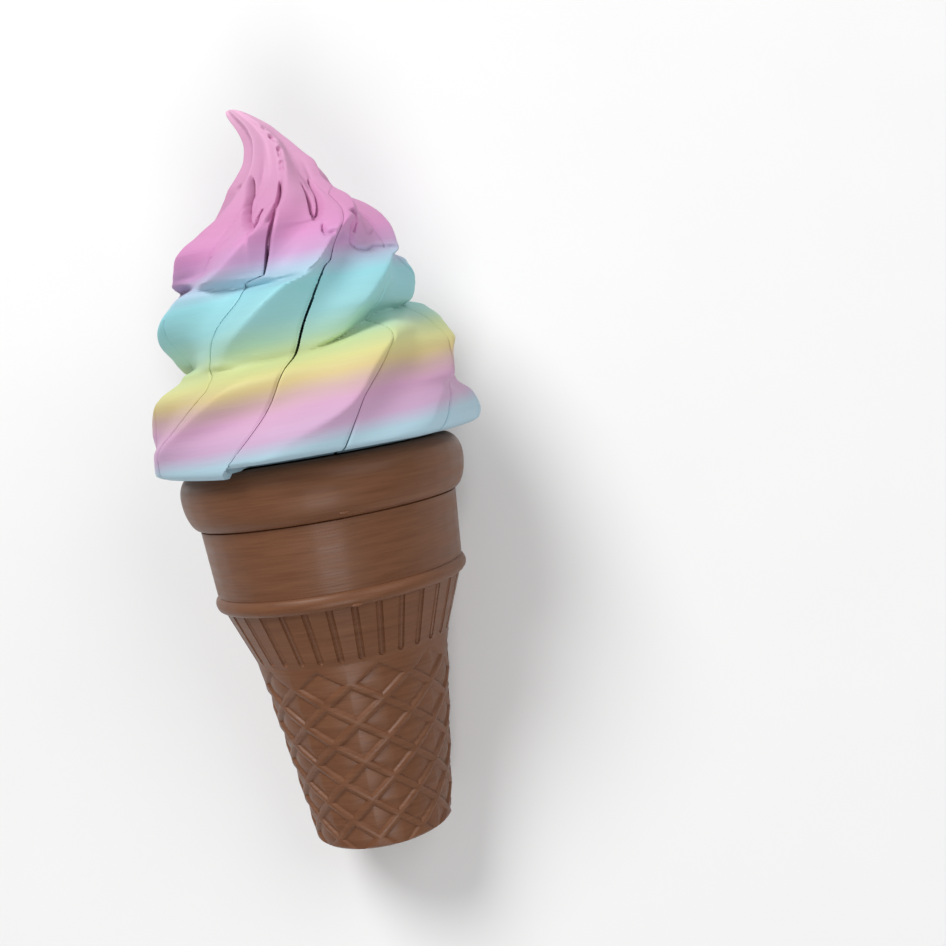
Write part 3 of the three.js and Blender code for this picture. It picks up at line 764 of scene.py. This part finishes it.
@dataclass(frozen=True)
class ConeSizes:
    """Sizes that the cone's parts share."""

    sides: int = 32
    first_edge: float = -1.0
    foot_radius: float = 15.4
    collar: float = 42.3
    collar_radius: float = 21.6
    bead_bottom: float = 54.9
    bead_radius: float = 28.0
    bead_thickness: float = 3.6
    funnel_top_radius: float = 26.4
    band_bottom_radius: float = 27.3
    band_top: float = 73.1
    band_top_radius: float = 28.4
    rim_radius: float = 31.3
    rim_widest: float = 80.4
    rim_top: float = 85.5
    rim_top_radius: float = 29.0

    def flat_share(self, angle: Array) -> Array:
        """Gives a flat side's distance from the axis, as a share of the edges' distance."""
        pitch = 360 / self.sides
        off = (angle - self.first_edge) % pitch - pitch / 2
        return math.cos(math.radians(pitch / 2)) / np.cos(np.radians(off))


@dataclass
class ConeBand:
    """Bead, plain band and rolled rim, in flat sides with softened edges."""

    sizes: ConeSizes = ConeSizes()
    steps: int = 26
    undercut: float = 0.45
    bead_arc: Span = (-90, 62)
    lower_arc: Span = (-84, 0)
    upper_arc: Span = (3, 82)
    rim_overlap: float = 0.4
    rim_top_overlap: float = 1.4
    seam: float = 0.1
    groove_start: Span = (0.05, 0.25)
    groove_end: float = 0.02
    faces_a_side: int = 3
    crease_angle: float = 34.0
    nubs: tuple[Triple, ...] = ((12.5, 29.5, 74.2), (11.5, 27.3, 55.3))
    nub_size: Triple = (1.3, 0.5, 0.42)

    def profile(self) -> list[Span]:
        """Draws the outline from the bead's underside to the rim's top.

        Returns:
            Radius and height pairs.
        """
        s = self.sizes
        half, widest = s.bead_thickness / 2, s.rim_widest
        ellipses = (
            (s.funnel_top_radius, s.bead_bottom + half, s.bead_radius, half, self.bead_arc),
            (s.band_top_radius - self.rim_overlap, widest, s.rim_radius, widest - s.band_top,
             self.lower_arc),
            (s.rim_top_radius - self.rim_top_overlap, widest, s.rim_radius, s.rim_top - widest,
             self.upper_arc))
        bead, lower, upper = (
            arc((middle, height), (reach - middle, half_height), angles, self.steps)
            for middle, height, reach, half_height, angles in ellipses)
        groove = [(s.band_top_radius - back, s.band_top - down)
                  for back, down in (self.groove_start, (self.undercut, self.groove_end))]
        return [
            (s.funnel_top_radius - 1, s.bead_bottom), *bead,
            (s.band_bottom_radius, s.bead_bottom + s.bead_thickness + self.seam),
            *groove, *lower, *upper]

    def nub(self, angle: float, radius: float, height: float) -> Piece:
        """Models a small bead of plastic that the print left on the wall."""
        nub = started("print_nub", bpy.ops.mesh.primitive_uv_sphere_add, segments=16,
                      ring_count=10, radius=1)
        nub.data.transform(Matrix.Diagonal((*self.nub_size, 1)))
        nub.data.transform(Matrix.Translation((0, -radius, height)))
        nub.data.transform(Matrix.Rotation(math.radians(angle), 4, "Z"))
        return nub

    def build(self) -> Piece:
        """Builds the piece."""
        s = self.sizes
        faces = s.sides * self.faces_a_side
        first = s.first_edge + 360 / s.sides / self.faces_a_side / 2
        piece = turned("cone_band", self.profile(), faces, first)
        for vertex in piece.data.vertices:
            angle = math.degrees(math.atan2(vertex.co.x, -vertex.co.y))
            vertex.co.xy *= float(s.flat_share(angle))
        for place in self.nubs:
            combine(piece, self.nub(*place), Cut.JOIN)
        lay_down(piece, self.crease_angle)
        return piece


@dataclass
class ConeFunnel:
    """Funnel of flat flutes parted by round-ended grooves."""

    sizes: ConeSizes = ConeSizes()
    groove_radius: float = 0.78
    groove_depth: float = 0.8
    groove_start: float = 0.5
    overlap: float = 0.8
    crease_angle: float = 9.5

    def groove_tool(self) -> Piece:
        """Models one round-ended groove along the wall's first edge.

        Returns:
            The closed tool.
        """
        s = self.sizes
        height = s.bead_bottom - s.collar
        slope = math.atan2(s.funnel_top_radius - s.collar_radius, height)
        tool = started("groove_tool", bpy.ops.mesh.primitive_uv_sphere_add, segments=16,
                       ring_count=12, radius=self.groove_radius)
        for vertex in tool.data.vertices:
            if vertex.co.z > MERGE_DISTANCE:
                vertex.co.z += 2 * height
        tool.data.transform(Matrix.Rotation(slope, 4, "Y"))
        start = self.groove_start + self.groove_radius
        radius = s.collar_radius + start * math.tan(slope) + self.groove_radius - self.groove_depth
        tool.data.transform(Matrix.Translation((radius, 0, s.collar + start)))
        tool.data.transform(Matrix.Rotation(math.radians(s.first_edge - 90), 4, "Z"))
        return tool

    def build(self) -> Piece:
        """Builds the piece."""
        s = self.sizes
        slope = (s.funnel_top_radius - s.collar_radius) / (s.bead_bottom - s.collar)
        profile = [(s.collar_radius, s.collar),
                   (s.funnel_top_radius + slope * self.overlap, s.bead_bottom + self.overlap)]
        piece = turned("cone_funnel", profile, s.sides, s.first_edge)
        first = self.groove_tool()
        tools = [first, *(copied(first, f"groove_tool_{i}") for i in range(1, s.sides))]
        for i, tool in enumerate(tools):
            tool.data.transform(Matrix.Rotation(math.tau * i / s.sides, 4, "Z"))
        combine(piece, joined(tools, "groove_tools"), Cut.TAKE_AWAY)
        lay_down(piece, self.crease_angle)
        return piece


@dataclass
class ConeWaffle:
    """Waffle wall of diamond pockets between crossing ribs, down to the rounded foot."""

    sizes: ConeSizes = ConeSizes()
    columns: int = 10
    rows: int = 12
    plain_rows: tuple[int, ...] = (0, 10, 11)
    first_column: float = 1.0
    first_crossing: float = 2.7
    pitch: float = 8.8
    rib: float = 0.5
    slope: float = 0.36
    depth: float = 0.64
    crown: float = 0.46
    ridge: float = 0.1
    edge_round: float = 0.12
    floor_round: float = 0.14
    round_drop: float = 0.07
    foot_rounding: float = 2.0
    foot_bulge: float = 0.4
    foot_steps: int = 12
    half_width: float = 6.0
    envelope_sides: int = 96
    envelope_play: float = 2.0
    crease_angle: float = 18.0

    def cells(self) -> tuple[Piece, Piece]:
        """Models two flat diamonds.

        Returns:
            The level one, then the one with a pocket.
        """
        plain = started("plain_cell", bpy.ops.mesh.primitive_plane_add, size=2)
        plain.data.transform(Matrix.Rotation(math.pi / 4, 4, "Z"))
        reach = math.sqrt(2)
        stretch = Matrix.Diagonal((self.half_width / reach, self.pitch / 2 / reach, 1, 1))
        plain.data.transform(stretch)
        pocket = copied(plain, "pocket_cell")
        steep = self.depth - self.ridge - 2 * self.round_drop
        with editing(pocket):
            for thickness, drop in ((self.rib, self.ridge), (self.edge_round, self.round_drop),
                                    (self.slope, steep), (self.floor_round, self.round_drop)):
                bpy.ops.mesh.inset(thickness=thickness, depth=-drop)
            bpy.ops.mesh.poke(offset=self.crown)
        return plain, pocket

    def sheet(self) -> Piece:
        """Lays copies of the cells out flat, one beside the other.

        Returns:
            The flat sheet, with angle across and height up.
        """
        plain, pocket = self.cells()
        laid = []
        for row in range(self.rows):
            height = self.first_crossing + self.pitch * (row - 1) / 2
            for column in range(self.columns + 1):
                across = self.half_width * (2 * column + row % 2)
                cell = copied(plain if row in self.plain_rows else pocket, f"cell_{row}_{column}")
                cell.data.transform(Matrix.Translation((across, height, 0)))
                laid.append(cell)
        bpy.data.objects.remove(pocket)
        bpy.data.objects.remove(plain)
        return joined(laid, "cone_waffle")

    def wrap(self, piece: Piece) -> None:
        """Wraps the flat sheet round the cone's flat-sided wall."""
        s = self.sizes
        around = 2 * self.half_width * self.columns
        pitch = around / s.sides
        offset = (s.first_edge - self.first_column) / 360 * around
        cuts = [((offset + pitch * side, 0, 0), (1, 0, 0), False, False)
                for side in range(-1, s.sides + 2)]
        cuts += [((0, 0, 0), (1, 0, 0), True, False), ((around, 0, 0), (1, 0, 0), False, True),
                 ((0, -1, 0), (0, 1, 0), True, False), ((0, s.collar, 0), (0, 1, 0), False, True)]
        with editing(piece):
            bpy.ops.mesh.remove_doubles(threshold=0.001)
            for place, direction, below, above in cuts:
                bpy.ops.mesh.select_all(action="SELECT")
                bpy.ops.mesh.bisect(plane_co=place, plane_no=direction, clear_inner=below,
                                    clear_outer=above)
        points = np.empty(3 * len(piece.data.vertices), np.float32)
        piece.data.vertices.foreach_get("co", points)
        across, height, relief = points.reshape(-1, 3).astype(float).T
        angle = self.first_column + across / around * 360
        wall = s.foot_radius + (s.collar_radius - s.foot_radius) * height / s.collar
        set_points(piece, polar(angle, wall * s.flat_share(angle) + relief, height))

    def build(self) -> Piece:
        """Builds the piece."""
        s = self.sizes
        piece = self.sheet()
        self.wrap(piece)
        with editing(piece):
            bpy.ops.mesh.remove_doubles(threshold=0.01)
        close_skin(piece)
        rounding, play = self.foot_rounding, self.envelope_play
        foot = arc((s.foot_radius - rounding, rounding), (rounding + self.foot_bulge, rounding),
                   (-90, 0), self.foot_steps)
        outline = [*foot, (s.collar_radius + play, s.collar + play)]
        combine(piece, turned("foot_envelope", outline, self.envelope_sides, 0), Cut.KEEP_SHARED)
        lay_down(piece, self.crease_angle)
        return piece


# ---------------- finishes


def from_screen(colour: Shade) -> tuple[float, float, float, float]:
    """Turns a colour of 0 to 255 a channel, as a screen shows it, into a linear opaque one."""
    shares = [c / 255 for c in colour]
    linear = [s / 12.92 if s <= 0.04045 else ((s + 0.055) / 1.055) ** 2.4 for s in shares]
    return (*linear, 1.0)


@dataclass
class NodeDesk:
    """A material's nodes, with short calls to add and join them."""

    name: str

    def __post_init__(self) -> None:
        """Makes the material with its shader and output alone."""
        self.material = bpy.data.materials.new(self.name)
        self.material.use_nodes = True
        self.tree = self.material.node_tree
        self.shader = self.tree.nodes["Principled BSDF"]

    def add(self, kind: str, inputs: dict | None = None, **settings: object) -> bpy.types.Node:
        """Adds a node.

        Args:
            kind: The node's type.
            inputs: Values or sockets by input name or number.
            settings: Properties of the node itself.

        Returns:
            The node.
        """
        node = self.tree.nodes.new(kind)
        for key, value in settings.items():
            setattr(node, key, value)
        self.feed(node, inputs or {})
        return node

    def feed(self, node: bpy.types.Node, inputs: dict) -> None:
        """Gives a node's inputs their values, or joins sockets to them."""
        for key, value in inputs.items():
            if isinstance(value, Socket):
                self.tree.links.new(value, node.inputs[key])
            else:
                node.inputs[key].default_value = value

    def upright(self) -> Socket:
        """Gives coordinates turned upright, in metres from the cone's foot."""
        back = IN_METRES.inverted()
        inputs = {"Vector": self.add("ShaderNodeTexCoord").outputs["Object"],
                  "Location": back.to_translation(), "Rotation": back.to_euler("XYZ")}
        return self.add("ShaderNodeMapping", inputs).outputs["Vector"]

    def noise(self, vector: Socket, scale: float, detail: float = 2.0,
              flat: float = 1.0) -> Socket:
        """Reads noise at upright coordinates, coarser across than upwards if flat is below 1."""
        if flat != 1:
            scales = {0: vector, 1: (flat, flat, 1.0)}
            vector = self.add("ShaderNodeVectorMath", scales, operation="MULTIPLY").outputs[0]
        node = self.add("ShaderNodeTexNoise", {"Vector": vector, "Scale": scale, "Detail": detail})
        return node.outputs["Fac"]

    def between(self, value: Socket, known: Span, wanted: Span) -> Socket:
        """Maps a known range of a value onto the wanted one."""
        names = ("From Min", "From Max", "To Min", "To Max")
        inputs = {"Value": value, **dict(zip(names, (*known, *wanted)))}
        return self.add("ShaderNodeMapRange", inputs).outputs["Result"]

    def total(self, first: Socket, second: Socket) -> Socket:
        """Adds two values."""
        return self.add("ShaderNodeMath", {0: first, 1: second}, operation="ADD").outputs[0]

    def mix(self, blend: str, share: object, first: object, second: object) -> Socket:
        """Mixes two colours."""
        inputs = {"Factor": share, 6: first, 7: second}
        return self.add("ShaderNodeMix", inputs, data_type="RGBA", blend_type=blend).outputs[2]

    def bump(self, height: Socket, distance: float, strength: float) -> None:
        """Sends a height to the shader's normal."""
        inputs = {"Height": height, "Distance": distance, "Strength": strength}
        self.feed(self.shader, {"Normal": self.add("ShaderNodeBump", inputs).outputs["Normal"]})

    def coat(self, colour: Socket, rough: object, specular: float) -> None:
        """Sets the shader's colour, roughness and gloss."""
        inputs = {"Base Color": colour, "Roughness": rough, "Specular IOR Level": specular}
        self.feed(self.shader, inputs)


@dataclass(frozen=True)
class SwirlFinish:
    """Matte printed plastic whose colour fades from band to band with height."""

    bands: tuple[tuple[float, Shade], ...] = (
        (0, (172, 202, 216)), (2.4, (172, 202, 216)), (5.5, (197, 163, 195)),
        (10, (202, 156, 188)), (12.8, (197, 164, 163)), (15.5, (208, 188, 134)),
        (18.2, (210, 207, 140)), (21, (196, 211, 156)), (24, (172, 212, 196)),
        (28, (150, 204, 208)), (34, (147, 208, 217)), (37.2, (172, 190, 212)),
        (40.2, (194, 152, 194)), (44, (208, 142, 190)), (49, (205, 139, 182)),
        (56, (205, 146, 183)), (66, (210, 156, 189)), (75.6, (224, 174, 202)))
    lean: Triple = (-0.055, -0.03, 1.0)
    drift_scale: float = 60.0
    drift: Span = (-0.0017, -0.0001)
    layer_scale: float = 2600.0
    layer_flat: float = 0.06
    mottle: Span = (0.98, 1.0)
    rough_scale: float = 300.0
    roughness: Span = (0.52, 0.64)
    specular: float = 0.35
    bump: Span = (0.00006, 0.5)

    def material(self) -> bpy.types.Material:
        """Builds the material."""
        desk = NodeDesk("printed_pastel")
        rope = Rope()
        upright = desk.upright()
        rise = {0: upright, 1: self.lean}
        height = desk.add("ShaderNodeVectorMath", rise, operation="DOT_PRODUCT").outputs["Value"]
        drift = desk.between(desk.noise(upright, self.drift_scale), WHOLE, self.drift)
        start = rope.base * MILLIMETRE
        level = desk.total(height, drift)
        share = desk.between(level, (start, start + rope.height * MILLIMETRE), WHOLE)
        fade = desk.add("ShaderNodeValToRGB", {"Fac": share})
        stops = fade.color_ramp.elements
        for i, (at, colour) in enumerate(self.bands):
            stop = stops[i] if i < 2 else stops.new(at / rope.height)
            stop.position = at / rope.height
            stop.color = from_screen(colour)
        layers = desk.noise(upright, self.layer_scale, 1.0, self.layer_flat)
        mottle = desk.between(layers, NOISE_SPAN, self.mottle)
        colour = desk.mix("MULTIPLY", 1.0, fade.outputs["Color"], mottle)
        rough = desk.between(desk.noise(upright, self.rough_scale), WHOLE, self.roughness)
        desk.coat(colour, rough, self.specular)
        desk.bump(layers, *self.bump)
        return desk.material


@dataclass(frozen=True)
class ConeFinish:
    """Satin brown printed plastic with faint lying layers."""

    brown: Shade = (124, 83, 58)
    dark: Shade = (99, 63, 43)
    layer_scale: float = 2200.0
    layer_flat: float = 0.05
    streak_scale: float = 600.0
    streak_flat: float = 0.12
    dark_to_brown: Span = (0.4, 1.6)
    roughness: Span = (0.35, 0.47)
    specular: float = 0.24
    bump: Span = (0.00008, 0.6)

    def material(self) -> bpy.types.Material:
        """Builds the material."""
        desk = NodeDesk("printed_brown")
        upright = desk.upright()
        layers = desk.noise(upright, self.layer_scale, 1.5, self.layer_flat)
        streaks = desk.noise(upright, self.streak_scale, 2.0, self.streak_flat)
        share = desk.between(desk.total(layers, streaks), self.dark_to_brown, WHOLE)
        colour = desk.mix("MIX", share, from_screen(self.dark), from_screen(self.brown))
        desk.coat(colour, desk.between(streaks, NOISE_SPAN, self.roughness), self.specular)
        desk.bump(layers, *self.bump)
        return desk.material


@dataclass(frozen=True)
class FloorFinish:
    """Plain pale floor."""

    grey: Span = (0.81, 0.83)
    grain_scale: float = 30.0
    roughness: float = 0.9
    specular: float = 0.1

    def material(self) -> bpy.types.Material:
        """Builds the material."""
        desk = NodeDesk("pale_floor")
        grain = desk.noise(desk.add("ShaderNodeTexCoord").outputs["Object"], self.grain_scale)
        desk.coat(desk.between(grain, WHOLE, self.grey), self.roughness, self.specular)
        return desk.material


# ---------------- studio


@dataclass(frozen=True)
class Camera:
    """The camera, set out about the upright toy and laid down with it."""

    focal_px: float = 1150.0
    frame_px: float = 946.0
    pitch: float = 4.9
    roll: float = 9.5
    distance: float = 254.15
    aim: Span = (319.5, 450.5)
    aim_height: float = 85.8
    sensor: float = 36.0

    def build(self) -> None:
        """Adds the camera and makes it the scene's."""
        turn = Matrix.Rotation(math.radians(90 - self.pitch), 4, "X")
        turn = turn @ Matrix.Rotation(math.radians(-self.roll), 4, "Z")
        middle, scale = self.frame_px / 2, self.distance / self.focal_px
        across, up = (self.aim[0] - middle) * scale, (middle - self.aim[1]) * scale
        place = Vector((0, 0, self.aim_height)) - turn @ Vector((across, up, -self.distance))
        data = bpy.data.cameras.new("camera")
        data.sensor_width = self.sensor
        data.lens = self.focal_px / self.frame_px * self.sensor
        data.clip_start = 0.01
        camera = bpy.data.objects.new("camera", data)
        bpy.context.scene.collection.objects.link(camera)
        camera.matrix_world = IN_METRES @ Matrix.Translation(place * MILLIMETRE) @ turn
        bpy.context.scene.camera = camera


@dataclass(frozen=True)
class Lamp:
    """A large soft lamp that aims at the middle of the toy."""

    name: str
    place: Triple
    size: float
    power: float
    aim: Triple = (0.0, 0.01, 0.03)

    def build(self) -> None:
        """Adds the lamp."""
        data = bpy.data.lights.new(self.name, "AREA")
        data.shape = "DISK"
        data.size = self.size
        data.energy = self.power
        lamp = bpy.data.objects.new(self.name, data)
        bpy.context.scene.collection.objects.link(lamp)
        lamp.location = self.place
        towards = Vector(self.aim) - lamp.location
        lamp.rotation_euler = towards.to_track_quat("-Z", "Y").to_euler()


@dataclass
class Studio:
    """Floor, soft light and camera."""

    floor_size: float = 8.0
    sky: float = 0.24
    lamps: tuple[Lamp, ...] = (
        Lamp("key_lamp", (-0.32, 0.64, 0.78), 0.5, 8.2),
        Lamp("fill_lamp", (0.1, -0.64, 0.76), 0.36, 3.3),
        Lamp("side_lamp", (0.62, 0.32, 0.75), 0.7, 2.5),
    )

    def build(self) -> None:
        """Builds the studio."""
        floor = started("floor", bpy.ops.mesh.primitive_plane_add, size=self.floor_size)
        floor.data.materials.append(FloorFinish().material())
        for lamp in self.lamps:
            lamp.build()
        world = bpy.data.worlds.new("studio_sky")
        world.use_nodes = True
        sky = world.node_tree.nodes["Background"]
        sky.inputs["Color"].default_value = (1.0, 1.0, 1.0, 1.0)
        sky.inputs["Strength"].default_value = self.sky
        bpy.context.scene.world = world
        bpy.context.scene.view_settings.view_transform = "Standard"
        Camera().build()


# ---------------- the whole toy


def dress(piece: Piece, material: bpy.types.Material, node: str) -> None:
    """Gives a piece its finish and its place in the frame's table."""
    piece.data.materials.clear()
    piece.data.materials.append(material)
    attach(piece, "root")
    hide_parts(node)
    LOG.info("%s: %d faces", piece.name, len(piece.data.polygons))


def main() -> None:
    """Builds the toy and its studio in order."""
    logging.basicConfig(level=logging.INFO, format="%(message)s")
    brown = ConeFinish().material()
    pastel = SwirlFinish().material()
    for part in (ConeWaffle(), ConeFunnel(), ConeBand()):
        dress(part.build(), brown, "cone")
    core, *petals = Swirl().build()
    dress(core, pastel, "swirl_core")
    for number, petal in enumerate(petals, 1):
        dress(petal, pastel, f"swirl_petal_{number}")
    Studio().build()


if __name__ == "__main__":
    main()
